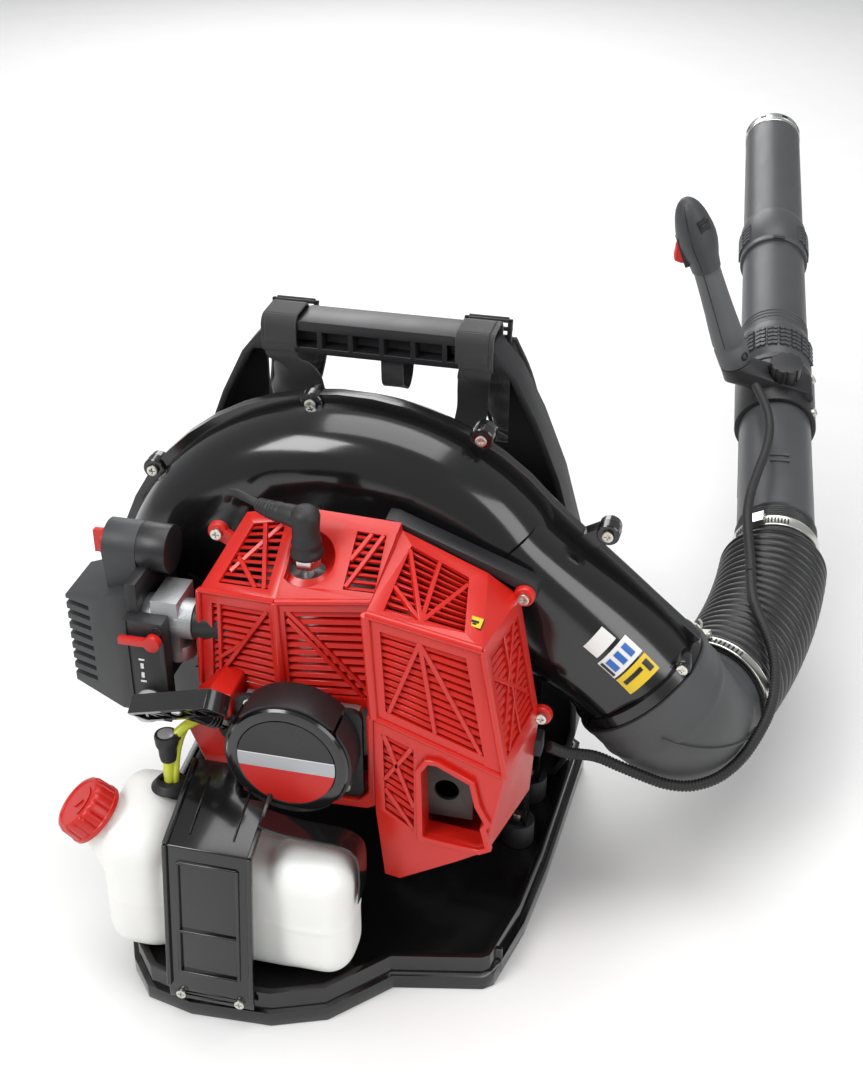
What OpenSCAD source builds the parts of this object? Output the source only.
/* [Machine] */
// Height of the crank and fan axis above the ground
axis_h = 195; // [195:1:198]
// Diameter of the fan
fan_d = 236; // [200:2:240]
// Depth of the fan case, front to back
case_depth = 100; // [98:1:104]
// Radius of the finished scroll, without its flange
scroll_r = 190; // [188:1:196]
// Wall of the blow-moulded and injection-moulded casings
wall = 3.5; // [3:0.5:4]

/* [Frame] */
// Height of the skirt round the base
skirt_h = 28; // [26:1:30]
// Height of the top of the back frame
frame_top = 419; // [416:1:421]
// Front face of the back frame
frame_y = 104; // [103:1:106]
// Depth of the back frame
frame_depth = 32; // [28:1:34]
// Width of a shoulder pad
shoulder_w = 58; // [50:1:62]
// Width of the harness webbing
webbing_w = 32; // [28:1:36]

/* [Engine] */
// Bore of the cylinder
bore_d = 44; // [42:1:45]
// Centre of the cylinder, along the crank
cylinder_y = -56; // [-57:1:-55]
// Diameter of the crankshaft
shaft_d = 15; // [14:1:16]
// Front face of the recoil starter
starter_face_y = -130; // [-132:1:-128]

/* [Blower pipe] */
// Outside diameter of the pipe at the hose
pipe_d1 = 72; // [70:1:74]
// Outside diameter of the pipe at the nozzle
pipe_d2 = 64; // [62:1:66]
// Length of the three pipes together
pipe_len = 686; // [680:2:700]
// Direction of the pipes, turned from +X towards +Y
pipe_az = 95.2; // [94:0.2:97]
// Rise of the pipes from level
pipe_el = 14.4; // [14:0.2:15]
// Outside diameter of the corrugated hose
hose_d = 97; // [92:1:98]
// Outside diameter of the throttle cable's conduit
conduit_d = 9; // [8:0.5:9]

/* [Hidden] */
$fn = 64;
gap = 0.3;
run_clear = 0.06;
flange_y = case_depth / 2;
deck_z = 24;
pipe_base = [311, 381, 127];
pipe_dir = [cos(pipe_el) * cos(pipe_az), cos(pipe_el) * sin(pipe_az), sin(pipe_el)];
swivel_len = 270;
mid_len = 208;
ring_len = 16;
end_len = pipe_len - swivel_len - mid_len - ring_len;
duct_el = -50;
duct_n = [cos(40), sin(40)];
lip_xz = [224, 178];
lip_r = 52.5;
duct_r = 46;
elbow_out = [272, 110, 119];
hose_route = [elbow_out, [300, 193, 107], [319, 296, 106], pipe_base];
yaw_at = 0.42;
pitch_at = 0.58;
route_lower = [
    [166, -24, 158], [178, -16, 148], [198, -4, 139], [216, 0, 130], [233, 3, 122],
    [250, 6, 115], [266, 10, 112], [280, 17, 112], [293, 28, 114], [305, 44, 119],
    [314, 62, 126], [321, 82, 134], [324, 102, 142], [323, 120, 151], [319, 137, 159],
    [312, 154, 165], [305, 171, 168], [299, 190, 170], [296, 212, 169], [294, 233, 168]];
route_upper = [
    [294, 235, 168], [292, 258, 167], [289, 282, 168], [286, 306, 171], [284, 330, 175],
    [285, 354, 182], [289, 380, 190], [293, 406, 197], [294, 432, 203], [291, 456, 208],
    [284, 478, 213], [275, 500, 217]];
grip_foot = [252, 536, 222];
grip_top = [190, 514, 396];
starter_eye = [-46, -104, 198];
pull_az = -140;
pull_el = 39;
handle_out = 51;

/* Vectors, curves and swept tubes */
function unit(v) = v / norm(v);
function bezier(p, t) = pow(1 - t, 3) * p[0] + 3 * t * pow(1 - t, 2) * p[1]
    + 3 * t * t * (1 - t) * p[2] + pow(t, 3) * p[3];
function bezier_path(p, from, to, steps) =
    [for (i = [0:steps]) bezier(p, from + (to - from) * i / steps)];
function tangent(path, i, ends = []) =
    i == 0 && len(ends) > 0 ? ends[0] : i == len(path) - 1 && len(ends) > 0 ? ends[1]
    : unit(path[min(i + 1, len(path) - 1)] - path[max(i - 1, 0)]);
function bezier_dir(p, t) = unit(pow(1 - t, 2) * (p[1] - p[0]) + 2 * t * (1 - t) * (p[2] - p[1])
    + t * t * (p[3] - p[2]));
function ring_at(centre, dir, r, sides, up = [0, 0, 1]) =
    let (u = unit(cross(dir, up)), v = cross(u, dir))
    [for (k = [0:sides - 1]) centre + r * (cos(360 * k / sides) * u + sin(360 * k / sides) * v)];
function skin_faces(rings, sides, flip) = [
    for (i = [0:rings - 2], k = [0:sides - 1])
        let (a = i * sides + k, b = i * sides + (k + 1) % sides, c = b + sides, d = a + sides)
        flip ? [d, c, b, a] : [a, b, c, d]];

/* A solid tube that follows a path, radius r or a list of radii */
module rod(path, r, sides = 10, up = [0, 0, 1]) {
    n = len(path);
    points = [for (i = [0:n - 1]) each ring_at(path[i], tangent(path, i), is_list(r) ? r[i] : r, sides, up)];
    start = [[for (k = [sides - 1:-1:0]) k]];
    finish = [[for (k = [0:sides - 1]) (n - 1) * sides + k]];
    polyhedron(points, concat(skin_faces(n, sides, false), start, finish), convexity = 6);
}

/* A hollow tube that follows a path, square to the given directions at its ends */
module pipe_along(path, r_out, r_in, sides, ends) {
    n = len(path);
    outer = [for (i = [0:n - 1]) each
        ring_at(path[i], tangent(path, i, ends), is_list(r_out) ? r_out[i] : r_out, sides)];
    inner = [for (i = [0:n - 1]) each
        ring_at(path[i], tangent(path, i, ends), is_list(r_in) ? r_in[i] : r_in, sides)];
    first = n * sides;
    inside = [for (f = skin_faces(n, sides, true)) [for (v = f) v + first]];
    ends = [for (k = [0:sides - 1]) each
        let (m = (k + 1) % sides, z = (n - 1) * sides)
        [[m, k, first + k, first + m], [z + k, z + m, first + z + m, first + z + k]]];
    polyhedron(concat(outer, inner), concat(skin_faces(n, sides, false), inside, ends), convexity = 8);
}

/* Children drawn along +Z are turned to point the way az and el say */
module aim(at, az, el, spin = 0) {
    translate(at) rotate([0, 90 - el, az]) rotate([0, 0, spin]) children();
}

/* A cylinder along +Y from y0 to y1 */
module drum(x, z, y0, y1, r, r2 = -1) {
    translate([x, y0, z]) rotate([-90, 0, 0]) cylinder(h = y1 - y0, r1 = r, r2 = r2 < 0 ? r : r2);
}

/* A box from its lowest to its highest corner */
module block(low, high) {
    translate(low) cube(high - low);
}

/* An outline in X and Z, extruded from y0 to y1 */
module profile(y0, y1) {
    translate([0, y1, 0]) rotate([90, 0, 0]) linear_extrude(y1 - y0) children();
}

/* Base and back frame */
base_outline = [
    [-130, -136], [-117, -163], [-97, -186], [-61, -194], [-1, -191], [37, -176], [64, -147],
    [75, -135], [140, -121], [147, -115], [159, -59], [165, 4], [172, 150], [150, 168],
    [-145, 168], [-165, 150], [-158, 0], [-142, -110]];

module base_outline_2d(inset) {
    offset(delta = -inset) polygon(base_outline);
}

module base_tray() {
    color("#17181a") difference() {
        union() {
            difference() {
                union() {
                    linear_extrude(12) base_outline_2d(0);
                    linear_extrude(skirt_h) base_outline_2d(4);
                }
                translate([0, 0, -1]) linear_extrude(deck_z - wall + 1) base_outline_2d(8);
                translate([0, 0, deck_z]) linear_extrude(skirt_h) base_outline_2d(9);
            }
            for (x = [-110, -55, 0, 55, 110]) block([x - 2, -118, 0], [x + 2, 160, deck_z - 1]);
            for (y = [-100, 0, 100]) block([-140, y - 2, 0], [150, y + 2, deck_z - 1]);
            block([-30, -30, 0], [30, 30, 6]);
        }
        for (x = mount_x, y = mount_y) translate([x, y, 0]) cylinder(h = 60, r = 4.2);
        strap_holes();
    }
}

mount_x = [-110, 138];
mount_y = [20, 76];
frame_side = [[150, 24.3], [158, 40], [165, 70], [165, 200], [156, 256], [142, 308], [124, 354], [106, 390],
    [88, 411], [58, 419]];

module frame_outline(inset) {
    right = [for (p = frame_side) [p[0] + 4, p[1] + (p[1] > 400 ? frame_top - 419 : 0)]];
    left = [for (i = [len(frame_side) - 1:-1:0]) [4 - frame_side[i][0], right[i][1]]];
    offset(delta = -inset) polygon(concat(right, left));
}

module back_frame() {
    back_y = frame_y + frame_depth;
    color("#17181a") difference() {
        profile(frame_y, back_y) frame_outline(0);
        difference() {
            profile(frame_y - 1, back_y - 4) frame_outline(5);
            block([-200, frame_y - 2, 393], [200, back_y, 460]);
        }
        block([-92, frame_y - 1, 322], [100, back_y + 1, 393]);
        for (x = [-92, 32], z = [70, 150, 230]) block([x, back_y - 5, z], [x + 68, back_y + 1, z + 52]);
        for (i = [0:5]) block([-62 + 24 * i, frame_y - 1, 398], [-42 + 24 * i, frame_y + 14, 411]);
    }
}

/* Harness: the pad on the frame's back, two shoulder pads and their webbing */
pad_y = 137;

module back_pad() {
    color("#2b2c2e") profile(pad_y + 1, pad_y + 22) translate([4, 198])
        offset(r = 16) square([190, 226], center = true);
}

module shoulder_pad(x) {
    path = [for (i = [0:14]) let (t = i / 14)
        [x + 22 * sin(180 * t) * sign(x), 161 + 32 * sin(150 * t), 392 - 274 * t]];
    color("#2b2c2e") strip(path, shoulder_w, 14);
}

/* A flat strip that follows a path in the YZ direction */
module strip(path, w, t) {
    n = len(path);
    points = [for (i = [0:n - 1]) each
        let (d = tangent(path, i), u = unit(cross(d, [0, 1, 0])), v = unit(cross(u, d)))
        [path[i] - u * w / 2 - v * t / 2, path[i] + u * w / 2 - v * t / 2,
         path[i] + u * w / 2 + v * t / 2, path[i] - u * w / 2 + v * t / 2]];
    start = [[3, 2, 1, 0]];
    finish = [[for (k = [0:3]) (n - 1) * 4 + k]];
    polyhedron(points, concat(skin_faces(n, 4, false), start, finish), convexity = 6);
}

module shoulder_pad_left() { shoulder_pad(-72); }
module shoulder_pad_right() { shoulder_pad(80); }

module harness_webbing() {
    color("#202124") for (x = [-72, 80]) {
        difference() {
            block([x - webbing_w / 2, frame_y - 3, 389], [x + webbing_w / 2, pad_y + 6, 424.5]);
            block([x - webbing_w / 2 - 1, frame_y - 0.5, 391.5], [x + webbing_w / 2 + 1, pad_y + 3.5, 422]);
        }
        block([x - webbing_w / 2 + 6, 170, 34], [x + webbing_w / 2 - 6, 172.5, 114]);
    }
}

module strap_buckles() {
    color("#111214") for (x = [-72, 80]) {
        block([x - 20, pad_y + 6.5, 398], [x + 20, pad_y + 12, 418]);
        block([x - 20, 174, 90], [x + 20, 180, 111]);
    }
}

/* Rubber blocks between the base and the engine and fan unit */
module rubber_mounts() {
    color("#0f0f10") for (x = mount_x, y = mount_y) translate([x, y, 0]) {
        difference() {
            translate([0, 0, deck_z + 0.2]) cylinder(h = 21, r = 13);
            translate([0, 0, 40]) cylinder(h = 10, r = 3);
        }
        translate([0, 0, 8]) cylinder(h = deck_z - 8 + 0.2, r = 4);
    }
}

/* Fan case: a scroll whose wall grows round the fan, and a straight outlet */
tongue_a = 5;
function scroll_radius(a) = 138 + (scroll_r - 138) * min(1, a / 200);
function scroll_point(a, inset) =
    let (r = scroll_radius(a) - inset) [r * cos(tongue_a - a), axis_h + r * sin(tongue_a - a)];
function outlet_point(side, along) =
    [lip_xz[0] + side * duct_n[0] + along * cos(duct_el), lip_xz[1] + side * duct_n[1] + along * sin(duct_el)];

module scroll_2d(inset) {
    arc = [for (a = [10:7.5:325]) scroll_point(a, 0)];
    offset(delta = -inset) polygon(concat(arc,
        [outlet_point(lip_r, -8), outlet_point(-lip_r, -8), outlet_point(-lip_r, -72)]));
}

module case_half(side) {
    /* side is 1 for the rear half and -1 for the front half */
    steps = [[0, 30, 0], [30, 43, 7], [43, 50, 18]];
    for (s = steps) {
        y0 = flange_y + (side > 0 ? s[0] : -s[1]);
        profile(y0, y0 + s[1] - s[0]) scroll_2d(s[2]);
    }
    y0 = side > 0 ? flange_y : flange_y - 5;
    profile(y0, y0 + 5) scroll_2d(-7);
}

module case_hollow(side) {
    steps = [[-1, 28, 0], [27, 40, 7], [39, 46.5, 18]];
    for (s = steps) {
        y0 = flange_y + (side > 0 ? s[0] : -s[1]);
        profile(y0, y0 + s[1] - s[0]) scroll_2d(s[2] + wall);
    }
}

module duct(from, to, r) {
    aim([lip_xz[0], flange_y, lip_xz[1]], 0, duct_el) translate([0, 0, from]) cylinder(h = to - from, r = r);
}

module duct_half(side) {
    y0 = side > 0 ? flange_y : flange_y - 120;
    intersection() {
        difference() {
            union() {
                duct(-60, 0, lip_r - 1);
                duct(-8, 0, lip_r);
            }
            duct(-61, 1, duct_r);
        }
        block([-400, y0, -200], [600, y0 + 120, 600]);
    }
}

/* Feet on the rubber mounts: where each stands, and how far up it joins the scroll */
foot_top = [[-110, 66], [138, 150]];
boss_xz = [[-156, 313], [-28, 384], [98, 370], [192, 304]];
lip_lug = [255, 19, 213];
engine_bolt_a = [45, 135, 225, 315];

/* Arms that join the screw bosses to the flange */
module boss_arms() {
    for (p = boss_xz) translate([p[0], p[1] + axis_h - 195]) rotate(atan2(195 - p[1], -p[0]))
        translate([0, -7]) square([26, 14]);
}

module boss_positions() {
    for (p = boss_xz) translate([p[0], 0, p[1] + axis_h - 195]) children();
}

module fan_case_front() {
    color("#141416") difference() {
        union() {
            case_half(-1);
            duct_half(-1);
            boss_positions() drum(0, 0, flange_y - 8, flange_y, 8);
            profile(flange_y - 6, flange_y) boss_arms();
            drum(lip_lug[0], lip_lug[2] + axis_h - 195, lip_lug[1], lip_lug[1] + 16, 6.5);
            drum(0, axis_h, -28, 2, 70);
            for (p = foot_top) block([p[0] - 8, mount_y[0] - 9, 45.4], [p[0] + 8, mount_y[0] + 9, p[1]]);
        }
        case_hollow(-1);
        drum(lip_lug[0], lip_lug[2] + axis_h - 195, lip_lug[1] - 1, lip_lug[1] + 12, 1.7);
        duct(-90, 1, duct_r);
        drum(0, axis_h, -29, 4, 66);
        boss_positions() drum(0, 0, flange_y - 12, flange_y - 8, 4.6);
        boss_positions() drum(0, 0, flange_y - 12, flange_y + 1, 1.7);
        for (a = engine_bolt_a) drum(68 * cos(a), axis_h + 68 * sin(a), -29, -10, 1.6);
    }
}

module fan_case_rear() {
    color("#141416") difference() {
        union() {
            case_half(1);
            duct_half(1);
            boss_positions() drum(0, 0, flange_y, flange_y + 8, 8);
            profile(flange_y, flange_y + 6) boss_arms();
            for (p = foot_top) block([p[0] - 8, mount_y[1] - 9, 45.4], [p[0] + 8, mount_y[1] + 9, p[1]]);
        }
        case_hollow(1);
        duct(-90, 1, duct_r);
        boss_positions() drum(0, 0, flange_y - 1, flange_y + 9, 1.6);
        difference() {
            drum(0, axis_h, case_depth - 8, case_depth + 1, 64);
            for (z = [-54:18:54]) block([-70, case_depth - 4, axis_h + z - 1.5], [70, case_depth, axis_h + z + 1.5]);
            for (x = [-36, 0, 36]) block([x - 1.5, case_depth - 4, axis_h - 70], [x + 1.5, case_depth, axis_h + 70]);
        }
    }
}

/* Pan-head screws: fan case, engine cover, recoil starter and tank strap */
module screw(head_r = 4.2) {
    difference() {
        union() {
            cylinder(h = 3, r = head_r);
            translate([0, 0, -9]) cylinder(h = 10, r = 1.5);
        }
        translate([-2.5, -0.5, 1.6]) cube([5, 1, 3]);
        translate([-0.5, -2.5, 1.6]) cube([1, 5, 3]);
    }
}

cover_screw_at = [[-80, -23.2, 308], [144, -23.2, 287], [160, -23.2, 186]];
starter_screw_xz = [[-34, 221], [31, 222], [34, 160]];
strap_screw_at = [[-66, -194.5, 22], [-22, -194.5, 22]];

module casing_screws() {
    color("#b9bcc0") {
        boss_positions() translate([0, flange_y - 8, 0]) rotate([90, 0, 0]) screw();
        translate(lip_lug + [0, 0, axis_h - 195]) rotate([90, 0, 0]) screw();
        for (p = cover_screw_at) translate([p[0], p[1] - 4, p[2]]) rotate([90, 0, 0]) screw();
        for (p = starter_screw_xz) translate([p[0], -103, p[1] + axis_h - 195]) rotate([90, 0, 0]) screw();
        for (p = strap_screw_at) translate(p) rotate([90, 0, 0]) screw(3.6);
    }
}

/* Elbow, hose and their clamps */
duct_dir = [cos(duct_el), 0, sin(duct_el)];
elbow_start = [lip_xz[0], flange_y, lip_xz[1]] + 0.5 * duct_dir;
elbow_dir_out = bezier_dir(hose_route, 0);
elbow_route = [elbow_start, elbow_start + 50 * duct_dir, elbow_out - 40 * elbow_dir_out, elbow_out];
elbow_r0 = 57;

module outlet_elbow() {
    path = bezier_path(elbow_route, 0, 1, 14);
    color("#47484a") pipe_along(path, [for (i = [0:14]) elbow_r0 - (elbow_r0 - 46) * i / 14],
        [for (i = [0:14]) 47 - 5 * i / 14], 32, [duct_dir, elbow_dir_out]);
}

module elbow_clamp() {
    ends = [elbow_dir_out, elbow_dir_out];
    color("#b9b6aa") {
        pipe_along([for (s = [1.5, 13]) elbow_out + s * elbow_dir_out], 52.4, 50.6, 32, ends);
        translate(elbow_out + 7 * elbow_dir_out + [0, 0, 54]) rotate([0, 90, 0])
            cylinder(h = 14, r = 3, center = true);
    }
}

module cable_holder() {
    at = elbow_out + 7 * elbow_dir_out + [-18, 0, 50];
    color("#1a1a1c") block(at + [-6, -5, 2], at + [4, 5, 16]);
}

hose_wall = 5;
clamp_at = 0.886;
cuff_r = 38;

/* The hose narrows to its cuff near its front end */
function hose_r(t) = hose_d / 2 - (hose_d / 2 - cuff_r) * max(0, min(1, (t - 0.79) / 0.06));

module hose_part(from, to, steps) {
    path = bezier_path(hose_route, from, to, steps);
    radii = [for (i = [0:steps]) hose_r(from + (to - from) * i / steps)];
    ends = [bezier_dir(hose_route, from), bezier_dir(hose_route, to)];
    color("#2e2f31") pipe_along(path, radii, [for (r = radii) r - hose_wall], 24, ends);
}

module hose_rear() {
    hose_part(0.002, yaw_at - 0.001, 8);
}

module hose_mid() {
    hose_part(yaw_at + 0.001, pitch_at - 0.001, 4);
}

module hose_front() {
    hose_part(pitch_at + 0.001, 0.98, 20);
}

module hose_clamp() {
    ends = [bezier_dir(hose_route, clamp_at - 0.02), bezier_dir(hose_route, clamp_at + 0.02)];
    color("#c5c1b4") pipe_along([for (t = [-0.02, 0.02]) bezier(hose_route, clamp_at + t)],
        cuff_r + 2.2, cuff_r + 0.8, 32, ends);
}

/* Pipes: each has a socket that the next one turns in */
function pipe_r(s) = (pipe_d1 + (pipe_d2 - pipe_d1) * s / pipe_len) / 2;

module on_pipe(s) {
    aim(pipe_base + s * pipe_dir, pipe_az, pipe_el) children();
}

/* A pipe from one station to another, with a socket over the pipe before it */
module pipe_tube(from, to, socket) {
    r0 = pipe_r(from);
    difference() {
        union() {
            on_pipe(from + gap) cylinder(h = to - from - gap, r1 = r0, r2 = pipe_r(to));
            if (socket > 0) on_pipe(from - socket) cylinder(h = socket + 4, r = r0 + 3.2);
        }
        on_pipe(from) translate([0, 0, -1]) cylinder(h = to - from + 2, r = pipe_r(to) - 3);
        if (socket > 0) on_pipe(from - socket - 1) cylinder(h = socket + 1 + gap, r = pipe_r(from - socket) + gap);
    }
}

socket_len = 60;

module swivel_pipe() {
    color("#55575a") {
        pipe_tube(0, swivel_len, 0);
        difference() {
            on_pipe(-20) cylinder(h = 30, r = cuff_r - hose_wall - 1.5);
            on_pipe(-21) cylinder(h = 40, r = cuff_r - hose_wall - 4);
        }
    }
}

module mid_pipe() {
    color("#55575a") pipe_tube(swivel_len, swivel_len + mid_len, socket_len);
}

module end_pipe() {
    color("#55575a") pipe_tube(swivel_len + mid_len, pipe_len - ring_len, socket_len);
}

module nozzle_ring() {
    r = pipe_r(pipe_len - ring_len);
    color("#c9ccd0") on_pipe(pipe_len - ring_len + 0.1) difference() {
        cylinder(h = ring_len, r = r + 0.6);
        translate([0, 0, -1]) cylinder(h = ring_len + 2, r = r - 2.4);
    }
}

/* Throttle handle, clamped on the swivel pipe */
grip_s = 175;
grip_dir = unit(grip_top - grip_foot);
grip_len = norm(grip_top - grip_foot);
grip_az = atan2(grip_dir[1], grip_dir[0]);
grip_el = asin(grip_dir[2]);

module on_grip(h) {
    aim(grip_foot + h * grip_dir, grip_az, grip_el) children();
}

module grip_clamp() {
    r = pipe_r(grip_s);
    color("#232426") difference() {
        union() {
            on_pipe(grip_s - 32) cylinder(h = 62, r = r + 5);
            hull() {
                on_pipe(grip_s - 16) rotate([0, 0, 44]) translate([-r - 4, 0, 0]) cylinder(h = 30, r = 7, $fn = 32);
                on_grip(-14) cylinder(h = 13.5, r = 15, $fn = 32);
            }
            on_pipe(grip_s) rotate([0, -90, 0]) translate([0, -5, r]) cylinder(h = 9, r = 12);
        }
        on_pipe(grip_s - 40) cylinder(h = 90, r = pipe_r(grip_s - 40) + 0.2);
        on_pipe(grip_s) rotate([0, -90, 0]) translate([0, -5, r - 4]) cylinder(h = 14, r = 3.1);
        on_pipe(grip_s) rotate([0, -90, 0]) translate([0, -5, r + 9]) cylinder(h = 40, r = 17);
        route_end(0.6);
    }
}

module clamp_knob() {
    r = pipe_r(grip_s);
    color("#2a2b2d") on_pipe(grip_s) rotate([0, -90, 0]) translate([0, -5, r]) {
        difference() {
            translate([0, 0, 9.3]) cylinder(h = 15, r = 16);
            for (a = [0:36:324]) rotate([0, 0, a]) translate([17, 0, 5]) cylinder(h = 25, r = 2.6);
        }
        translate([0, 0, 1.5]) cylinder(h = 9, r = 3);
    }
}

module route_end(extra) {
    rod([for (i = [len(route_upper) - 4:len(route_upper) - 1]) route_upper[i]], conduit_d / 2 + extra, 12);
}

module control_grip() {
    color("#6b6d70") difference() {
        union() {
            on_grip(0) cylinder(h = 22, r1 = 15, r2 = 16.5);
            hull() {
                on_grip(20) cylinder(h = 4, r = 16.5, $fn = 32);
                on_grip(118) cylinder(h = 4, r = 13, $fn = 32);
            }
            hull() {
                on_grip(116) cylinder(h = 4, r = 13, $fn = 32);
                on_grip(140) sphere(r = 20, $fn = 32);
                on_grip(172) sphere(r = 13, $fn = 32);
            }
        }
        trigger_place() block([-6, -30, -18], [6, 8, 14]);
        on_grip(154) rotate([0, 0, 115]) translate([13, -5, 2]) cube([20, 10, 8]);
    }
}

/* The trigger's own axes: +Y runs back into the head, +Z up the grip */
module trigger_place() {
    on_grip(134) rotate([0, 0, 85]) children();
}

module throttle_trigger() {
    color("#d8322a") trigger_place() {
        translate([0, 0, 10]) rotate([0, 90, 0]) cylinder(h = 11, r = 2.5, center = true);
        block([-5, -27, -12], [5, -1, 11]);
    }
}

module stop_switch() {
    color("#1b1b1d") on_grip(154) rotate([0, 0, 115]) translate([13.3, -4.7, 2.3]) cube([7.5, 9.4, 4]);
}

/* Engine */
port_z = axis_h + 56;

module crankcase() {
    color("#8c8f92") difference() {
        union() {
            block([-39, -98.8, 152], [44, -92, 224]);
            drum(0, axis_h, -93, -74, 27);
            drum(0, axis_h, -75, -34, 32);
            drum(0, axis_h, -34, -28.2, 70);
            block([-29, cylinder_y - 18, axis_h + 20], [29, cylinder_y + 22, axis_h + 42]);
        }
        drum(0, axis_h, -71, -41, 27.5);
        drum(0, axis_h, -100, -27, shaft_d / 2 + run_clear);
        translate([0, cylinder_y, axis_h]) cylinder(h = 60, r = bore_d / 2 - 2);
        translate([0, cylinder_y, axis_h + 42]) cylinder(h = 80, r = bore_d / 2 + 4.3);
        for (p = starter_screw_xz) drum(p[0], p[1] + axis_h - 195, -100, -91, 1.6);
    }
}

module engine_cylinder() {
    top = axis_h + 104;
    color("#9a9da1") translate([0, cylinder_y, 0]) difference() {
        union() {
            translate([0, 0, axis_h + 42.2]) cylinder(h = top - axis_h - 46, r = bore_d / 2 + 4);
            translate([-27, -17, axis_h + 42.2]) cube([54, 38, 5]);
            for (z = [axis_h + 52:7:top - 4]) translate([-40, -14, z]) cube([80, 35, 2.2]);
            translate([-20, -10, top - 14]) cube([40, 30, 17]);
            translate([-44, -13, port_z - 12]) cube([20, 26, 24]);
            translate([24, -13, port_z - 12]) cube([20, 26, 24]);
        }
        translate([0, 0, axis_h + 40]) cylinder(h = 60, r = bore_d / 2);
        translate([-3, 0, top - 20]) cylinder(h = 40, r = 5);
        translate([-46, 0, port_z]) rotate([0, 90, 0]) cylinder(h = 24, r = 9);
        translate([23, 0, port_z]) rotate([0, 90, 0]) cylinder(h = 24, r = 9);
    }
}

module piston() {
    color("#b4b6b9") translate([0, cylinder_y, 0]) difference() {
        translate([0, 0, axis_h + 68]) cylinder(h = 28, r = bore_d / 2 - 0.08);
        translate([0, 0, axis_h + 67]) cylinder(h = 24, r = bore_d / 2 - 4);
        for (z = [88, 92]) translate([0, 0, axis_h + z]) difference() {
            cylinder(h = 1.5, r = bore_d / 2 + 1);
            cylinder(h = 1.5, r = bore_d / 2 - 1.5);
        }
    }
}

module crankshaft() {
    color("#a5a8ac") {
        drum(0, axis_h, -104, -64, shaft_d / 2);
        drum(0, axis_h, -70, -63, 26);
        drum(0, axis_h, -49, -42, 26);
        drum(0, axis_h + 16, -64, -48, 6);
        drum(0, axis_h, -48, 90, shaft_d / 2);
        drum(0, axis_h, -108, -100.5, 13);
    }
}

module flywheel() {
    color("#84878b") difference() {
        union() {
            drum(0, axis_h, -22, -8, 46);
            for (a = [0:24:336]) translate([0, -10, axis_h]) rotate([0, a, 0]) translate([22, 0, -1]) cube([22, 8, 2]);
        }
        drum(0, axis_h, -23, 0, shaft_d / 2 + gap / 3);
        for (a = [30, 210]) drum(36 * cos(a), axis_h + 36 * sin(a), -23, -15, 6);
    }
}

module ignition_coil() {
    color("#1d1d1f") {
        block([-22, -21, axis_h + 47], [22, -10, axis_h + 53]);
        block([-14, -22, axis_h + 53], [14, -8, axis_h + 63.5]);
    }
}

module fan_impeller() {
    r = fan_d / 2;
    color("#3a3b3d") difference() {
        union() {
            drum(0, axis_h, 14, 17, r);
            drum(0, axis_h, 10, 84, 16);
            for (a = [0:24:336]) translate([0, 16, axis_h]) rotate([0, a, 0])
                translate([44, 0, 0]) rotate([0, 28, 0]) cube([r - 52, 66, 2.5]);
        }
        drum(0, axis_h, 0, 90, shaft_d / 2 + gap / 3);
    }
}

module muffler() {
    color("#8a8a88") difference() {
        union() {
            block([66, -92, 136], [124, -42, 212]);
            block([44.2, cylinder_y - 14, port_z - 12], [64, cylinder_y + 14, port_z + 12]);
            block([62, cylinder_y - 14, 200], [80, cylinder_y + 14, port_z + 12]);
        }
        block([69, -89, 139], [121, -45, 209]);
        translate([40, cylinder_y, port_z]) rotate([0, 90, 0]) cylinder(h = 32, r = 9);
        translate([70, cylinder_y, 190]) cylinder(h = port_z - 188, r = 6);
        drum(105, 160, -98, -88, 9);
    }
}

module intake_insulator() {
    color("#202022") translate([-88, cylinder_y, port_z]) rotate([0, 90, 0]) difference() {
        union() {
            cylinder(h = 43.8, r = 14);
            translate([-20, -14, 38.8]) cube([28, 28, 5]);
        }
        translate([0, 0, -1]) cylinder(h = 50, r = 9);
    }
}

module carburettor() {
    z = port_z;
    color("#8d9094") difference() {
        union() {
            block([-118, cylinder_y - 13, z - 22], [-98, cylinder_y + 20, z + 20]);
            translate([-125.8, cylinder_y, z]) rotate([0, 90, 0]) cylinder(h = 37.6, r = 15);
            translate([-104, cylinder_y, z - 32]) cylinder(h = 12, r = 12);
        }
        translate([-127, cylinder_y, z]) rotate([0, 90, 0]) cylinder(h = 40, r = 9);
    }
}

module spark_plug() {
    color("#d9dadc") translate([-3, cylinder_y, axis_h]) {
        translate([0, 0, 98]) cylinder(h = 20, r = 4.9);
        translate([0, 0, 116.2]) cylinder(h = 7, r = 10, $fn = 6);
        translate([0, 0, 123]) cylinder(h = 8, r = 5);
    }
}

boot_lead = [[-3, -56, 346], [-15, -53, 347], [-29, -48, 346], [-41, -43, 346]];
lead_route = [[-42, -42.6, 346.1], [-51, -38, 347], [-61, -32, 346], [-69, -25, 341], [-74, -18, 332]];

module plug_boot() {
    color("#1c1c1e") difference() {
        union() {
            translate([-3, cylinder_y, axis_h + 123.4]) cylinder(h = 28, r1 = 11, r2 = 9.5);
            translate([-3, cylinder_y, axis_h + 151]) sphere(r = 10.5);
            rod(boot_lead, [9, 7, 6, 4.5], 16);
        }
        translate([-3, cylinder_y, axis_h + 120]) cylinder(h = 12, r = 5.2);
    }
}

module plug_lead() {
    color("#1c1c1e") rod(lead_route, 3.2, 12);
}

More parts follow.
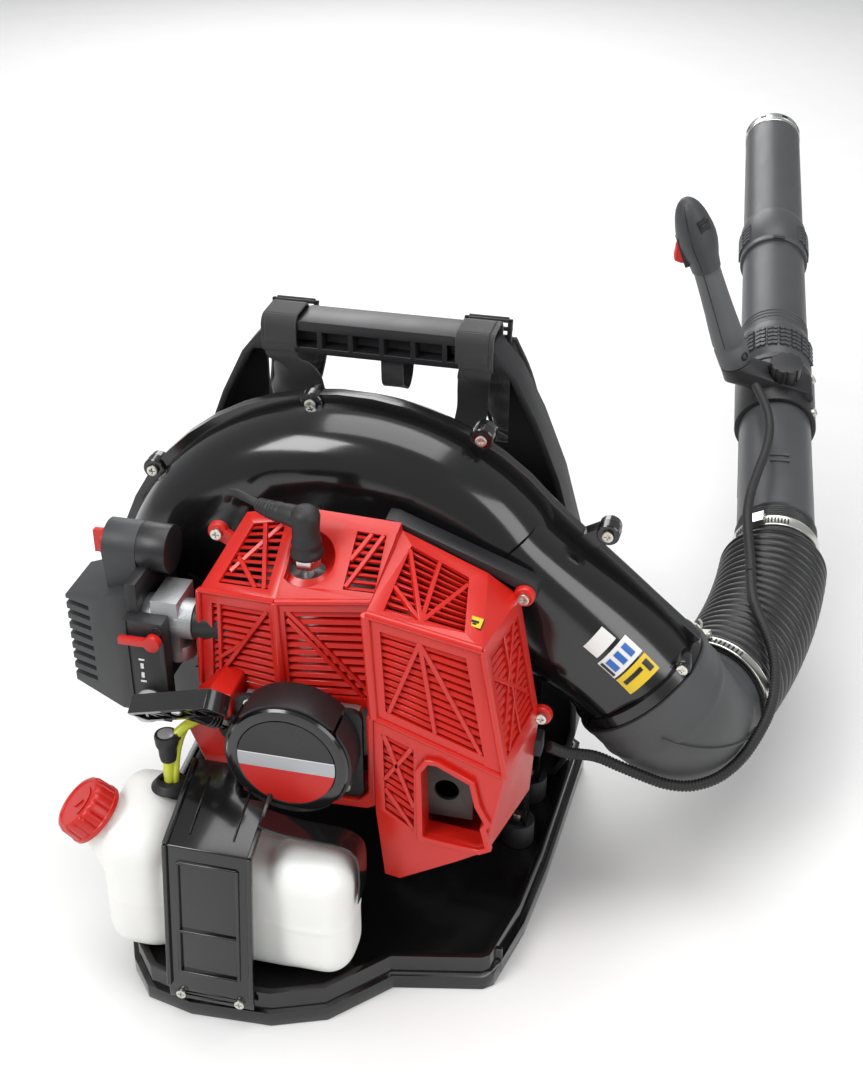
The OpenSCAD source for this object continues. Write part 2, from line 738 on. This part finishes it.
/* Engine cover: three louvred boxes open at the back, with the starter's window */
cover_l = [
    [-81, -66, 284], [-85, -66, 203], [-17, -88, 298], [-15, -88, 212], [58, -80, 304], [58, -80, 213],
    [-57, -24, 327], [-40, -24, 335], [15, -24, 340], [58, -24, 334], [-95, -24, 262], [-95, -24, 200],
    [58, -24, 200]];
cover_r = [
    [53, -108, 312], [132, -109, 297], [149, -108, 193], [57, -108, 146], [56, -24, 328],
    [118, -24, 302], [141, -24, 286], [158, -24, 186], [57, -24, 150]];
cover_s = [
    [57, -108, 160], [149, -108, 193], [138, -106, 122], [114, -108, 108], [74, -108, 84], [63, -108, 86],
    [158, -24, 180], [153, -24, 114], [74, -40, 100], [58, -40, 160]];
cover_m = [[-85, 204], [-66, 150], [-34, 138], [58, 146], [58, 228], [-64, 228]];

module corner_hull(points) {
    hull() for (p = points) translate(p) cube(0.02, center = true);
}

/* The same corners drawn in towards their middle by the wall, and open at the back */
module corner_core(points, keep) {
    middle = [for (k = [0:2]) let (v = [for (p = points) p[k]]) (min(v) + max(v)) / 2];
    hull() for (p = points)
        translate(middle + keep * (p - middle) + [0, p[1] > -41 ? 12 : 0, 0]) cube(0.02, center = true);
}

module engine_cover() {
    color("#d8281f") difference() {
        union() {
            for (c = [cover_l, cover_r, cover_s]) corner_hull(c);
            profile(-106, -60) polygon(cover_m);
        }
        corner_core(cover_l, 0.95);
        corner_core(cover_r, 0.94);
        corner_core(cover_s, 0.92);
        profile(-102, -20) offset(delta = -wall) polygon(cover_m);
        block([-120, -27, 60], [200, 0, 400]);
        block([-47, -120, 148], [51, -62, 228]);
        drum(starter_eye[0], starter_eye[2], -120, -80, 13);
        block([-60, -84, 141], [53, -20, 214]);
        drum(0, axis_h, -77, -20, 34);
        block([48, -72, 120], [70, -20, 286]);
        block([63, -96, 133], [127, -20, 215]);
        block([50, -60, 96], [130, -20, 150]);
        translate([-3, cylinder_y, 300]) cylinder(h = 80, r = 21);
        translate([-120, cylinder_y, axis_h + 56]) rotate([0, 90, 0]) cylinder(h = 60, r = 17);
        block([-120, -82, 190], [-60, -20, 241]);
        for (p = cover_screw_at) drum(p[0], p[2], -60, 0, 4.6);
        profile(-120, -96) polygon([[91, 188], [101, 197], [125, 186], [136, 151], [137, 129], [92, 130]]);
        for (z = [218:9:272]) block([-76, -100, z], [-24, -62, z + 5]);
        for (z = [218:9:281]) block([-8, -100, z], [44, -70, z + 5]);
        for (y = [-72:9:-36]) block([-66 + (y + 72) / 2, y, 276], [-30, y + 5, 350]);
        for (y = [-72:9:-36]) block([24, y, 276], [46, y + 5, 350]);
        for (z = [236:9:290]) block([64, -130, z], [126, -96, z + 5]);
        for (z = [216:9:226]) block([78, -130, z], [132, -96, z + 5]);
        for (y = [-96:9:-42]) block([62, y, 290], [112, y + 5, 350]);
        for (z = [140:9:203]) block([66, -130, z], [84, -96, z + 5]);
        for (z = [200:9:272]) block([130, -94, z], [170, -36, z + 5]);
    }
}

module heat_shield() {
    color("#161617") difference() {
        hull() {
            block([44, -22, 322], [50, -6, 334]);
            block([146, -22, 282], [152, -6, 294]);
        }
        drum(cover_screw_at[1][0], cover_screw_at[1][2], -60, 0, 1.7);
    }
}

/* Recoil starter */
module starter_housing() {
    y = starter_face_y;
    color("#131315") difference() {
        union() {
            drum(0, axis_h, y, y + 3, 37.5, 41);
            drum(0, axis_h, y + 3, -99, 46);
            profile(-103, -99) translate([1, axis_h - 7]) offset(r = 8) square([76, 60], center = true);
            drum(starter_eye[0], starter_eye[2], -110, -101, 9);
        }
        difference() {
            drum(0, axis_h, y + 4, -98, 42);
            drum(0, axis_h, y, -112, 6);
            for (p = starter_screw_xz) drum(p[0], p[1] + axis_h - 195, -127, -98, 8);
        }
        for (p = starter_screw_xz) {
            drum(p[0], p[1] + axis_h - 195, -140, -103, 5);
            drum(p[0], p[1] + axis_h - 195, -104, -98, 1.7);
        }
        aim(starter_eye, pull_az, pull_el) translate([0, 0, -14]) cylinder(h = 40, r = 3.2);
    }
}

module starter_pulley() {
    color("#4a4c4f") difference() {
        union() {
            drum(0, axis_h, -125, -123, 26);
            drum(0, axis_h, -123, -115, 20);
            drum(0, axis_h, -115, -113, 26);
        }
        drum(0, axis_h, -126, -112, 6 + run_clear);
    }
}

module starter_rope() {
    color("#d8d8d2") aim(starter_eye, pull_az, pull_el) translate([0, 0, -8]) cylinder(h = handle_out - 14, r = 1.8);
}

module starter_handle() {
    color("#1a1a1c") aim(starter_eye, pull_az, pull_el, 127) {
        difference() {
            union() {
                translate([0, 0, 15]) cylinder(h = handle_out - 18, r1 = 5.5, r2 = 9);
                translate([-47, -7, handle_out - 10]) cube([94, 14, 20]);
            }
            translate([0, 0, 8]) cylinder(h = handle_out - 8, r = 2.4);
            translate([0, 0, handle_out - 6]) cylinder(h = 30, r = 6);
            for (x = [-42, -26, 12, 28]) translate([x, -8, handle_out - 6]) cube([13, 16, 12]);
        }
    }
}

/* Air cleaner and choke */
choke_xz = [-110, 249];
primer_xz = [-116, 196];

module filter_base() {
    color("#202123") difference() {
        union() {
            block([-134, -74, 172], [-126, -1, 286]);
            block([-134, -84, 176], [-104, -71.5, 262]);
            translate([-134, -34, 294]) rotate([0, 90, 0]) cylinder(h = 22, r = 18);
            drum(primer_xz[0], primer_xz[1], -95, -83, 8.2);
        }
        drum(choke_xz[0], choke_xz[1], -85, -78, 2.5 + run_clear);
        translate([-140, cylinder_y, port_z]) rotate([0, 90, 0]) cylinder(h = 20, r = 9);
    }
}

module filter_element() {
    color("#d9d3bd") difference() {
        block([-158, -60, 176], [-134.3, -7, 246]);
        for (z = [182:6:240]) block([-160, -61, z], [-140, -6, z + 3]);
    }
}

module filter_cover() {
    color("#2c2d2f") difference() {
        union() {
            hull() {
                block([-193, -52, 177], [-187, -6, 254]);
                block([-150, -66, 168], [-134.3, -1, 268]);
            }
            hull() {
                translate([-160, -34, 294]) rotate([0, 90, 0]) cylinder(h = 25.7, r = 18);
                block([-156, -52, 236], [-134.3, -14, 264]);
            }
        }
        block([-162, -62, 173], [-120, -5, 250]);
        block([-134.3, -90, 200], [-100, 20, 320]);
        for (z = [184:9:247]) block([-200, -70, z], [-172, 10, z + 4]);
        translate([-161, -34, 294]) rotate([0, 90, 0]) cylinder(h = 14, r = 3 + run_clear);
    }
}

module filter_knob() {
    color("#d8322a") translate([-160.4, -34, 294]) rotate([0, -90, 0]) {
        cylinder(h = 5, r1 = 11, r2 = 10);
        translate([-9, -2.5, 4]) cube([18, 5, 8]);
        translate([0, 0, -11]) cylinder(h = 12, r = 3);
    }
}

module choke_lever() {
    color("#d8322a") {
        drum(choke_xz[0], choke_xz[1], -92, -86, 6);
        drum(choke_xz[0], choke_xz[1], -90, -79, 2.5);
        block([choke_xz[0] - 25, -92, choke_xz[1] - 2.5], [choke_xz[0] - 2, -87, choke_xz[1] + 2.5]);
    }
}

module primer_bulb() {
    color("#c9ccd0") difference() {
        union() {
            drum(primer_xz[0], primer_xz[1], -99, -89, 11);
            drum(primer_xz[0], primer_xz[1], -103, -99, 8, 11);
        }
        drum(primer_xz[0], primer_xz[1], -100, -88, 8.2 + run_clear);
    }
}

/* Fuel tank, its cap and lines, and the strap that holds it */
module lobe(low, high, r) {
    hull() for (x = [low[0] + r, high[0] - r], y = [low[1] + r, high[1] - r]) {
        translate([x, y, low[2] + 8]) cylinder(h = high[2] - low[2] - 16, r = r, $fn = 32);
        translate([x, y, low[2]]) cylinder(h = high[2] - low[2], r = r - 8, $fn = 32);
    }
}

neck_az = 200;
neck_el = 48;
neck_foot = [-118, -140, 108];
tank_z = skirt_h + 0.4;

module tank_form(inset) {
    lobe([-134 + inset, -174 + inset, tank_z + inset], [-80 - inset, -96 - inset, 150 - inset], 18 - inset);
    lobe([-12 + inset, -170 + inset, tank_z + inset], [52 - inset, -116 - inset, 138 - inset], 18 - inset);
    lobe([-110 + inset, -168 + inset, tank_z + inset], [20 - inset, -104 - inset, 120 - inset], 14 - inset);
}

module fuel_tank() {
    color("#f2f2ee") difference() {
        union() {
            tank_form(0);
            aim(neck_foot, neck_az, neck_el) cylinder(h = 34, r1 = 30, r2 = 19);
        }
        difference() {
            tank_form(3);
            aim(neck_foot, neck_az, neck_el) translate([0, 0, 30]) cylinder(h = 36, r = 28);
        }
        aim(neck_foot, neck_az, neck_el) cylinder(h = 40, r = 15.5);
        aim(neck_foot, neck_az, neck_el) translate([0, 0, 34]) cylinder(h = 40, r = 24.5);
        translate([-92, -122, 130]) cylinder(h = 30, r = 8);
    }
}

module fuel_cap() {
    color("#d8322a") aim(neck_foot, neck_az, neck_el) difference() {
        union() {
            translate([0, 0, 34.3]) cylinder(h = 19, r = 23.5);
            translate([0, 0, 24]) cylinder(h = 12, r = 15.5 - run_clear);
        }
        for (a = [0:20:340]) rotate([0, 0, a]) translate([25, 0, 30]) cylinder(h = 30, r = 2.4);
    }
}

module fuel_grommet() {
    color("#1b1b1d") difference() {
        union() {
            translate([-92, -122, 150.2]) cylinder(h = 5, r1 = 14, r2 = 10);
            translate([-92, -122, 140]) cylinder(h = 12, r = 7.7);
        }
        for (x = [-97, -88]) translate([x, -122, 130]) cylinder(h = 40, r = 3.1);
    }
}

fuel_route = [[-97, -122, 142], [-97, -122, 160], [-96, -121, 176], [-90, -116, 190], [-84, -108, 198]];
return_route = [[-88, -122, 142], [-88, -122, 158], [-88, -118, 172], [-86, -110, 184]];

module fuel_lines() {
    color("#c6cf3a") {
        rod(fuel_route, 2.8, 10, [0, 1, 0]);
        rod(return_route, 2.8, 10, [0, 1, 0]);
    }
}

module strap_holes() {
    for (p = strap_screw_at) translate(p + [0, 14, 0]) rotate([90, 0, 0]) cylinder(h = 20, r = 1.6);
}

module tank_strap() {
    bend = [[-110, 167], [-111, 170], [-178, 146], [-194.4, 28], [-194.4, 16], [-191.4, 16], [-191.4, 28],
        [-175.5, 143]];
    color("#131315") difference() {
        translate([-76, 0, 0]) rotate([90, 0, 90]) linear_extrude(64) polygon(bend);
        drum(0, axis_h, -135, -95, 48);
        strap_holes();
    }
}

module cable_gland() {
    color("#1a1a1c") block([150, -26.5, 148], [161, -12, 164]);
}

module conduit_lower() {
    color("#1d1d1f") rod(route_lower, conduit_d / 2, 10);
}

module conduit_upper() {
    color("#1d1d1f") rod(route_upper, conduit_d / 2, 10);
}

base_tray();
back_frame();
back_pad();
shoulder_pad_left();
shoulder_pad_right();
harness_webbing();
strap_buckles();
rubber_mounts();
fan_case_front();
fan_case_rear();
casing_screws();
outlet_elbow();
elbow_clamp();
cable_holder();
hose_rear();
hose_mid();
hose_front();
hose_clamp();
crankcase();
engine_cylinder();
piston();
muffler();
carburettor();
intake_insulator();
ignition_coil();
engine_cover();
heat_shield();
spark_plug();
plug_boot();
plug_lead();
starter_housing();
starter_pulley();
starter_rope();
starter_handle();
filter_base();
filter_element();
filter_cover();
filter_knob();
choke_lever();
primer_bulb();
fuel_tank();
fuel_cap();
fuel_grommet();
fuel_lines();
tank_strap();
cable_gland();
conduit_lower();
conduit_upper();
crankshaft();
flywheel();
fan_impeller();
swivel_pipe();
grip_clamp();
clamp_knob();
control_grip();
throttle_trigger();
stop_switch();
mid_pipe();
end_pipe();
nozzle_ring();
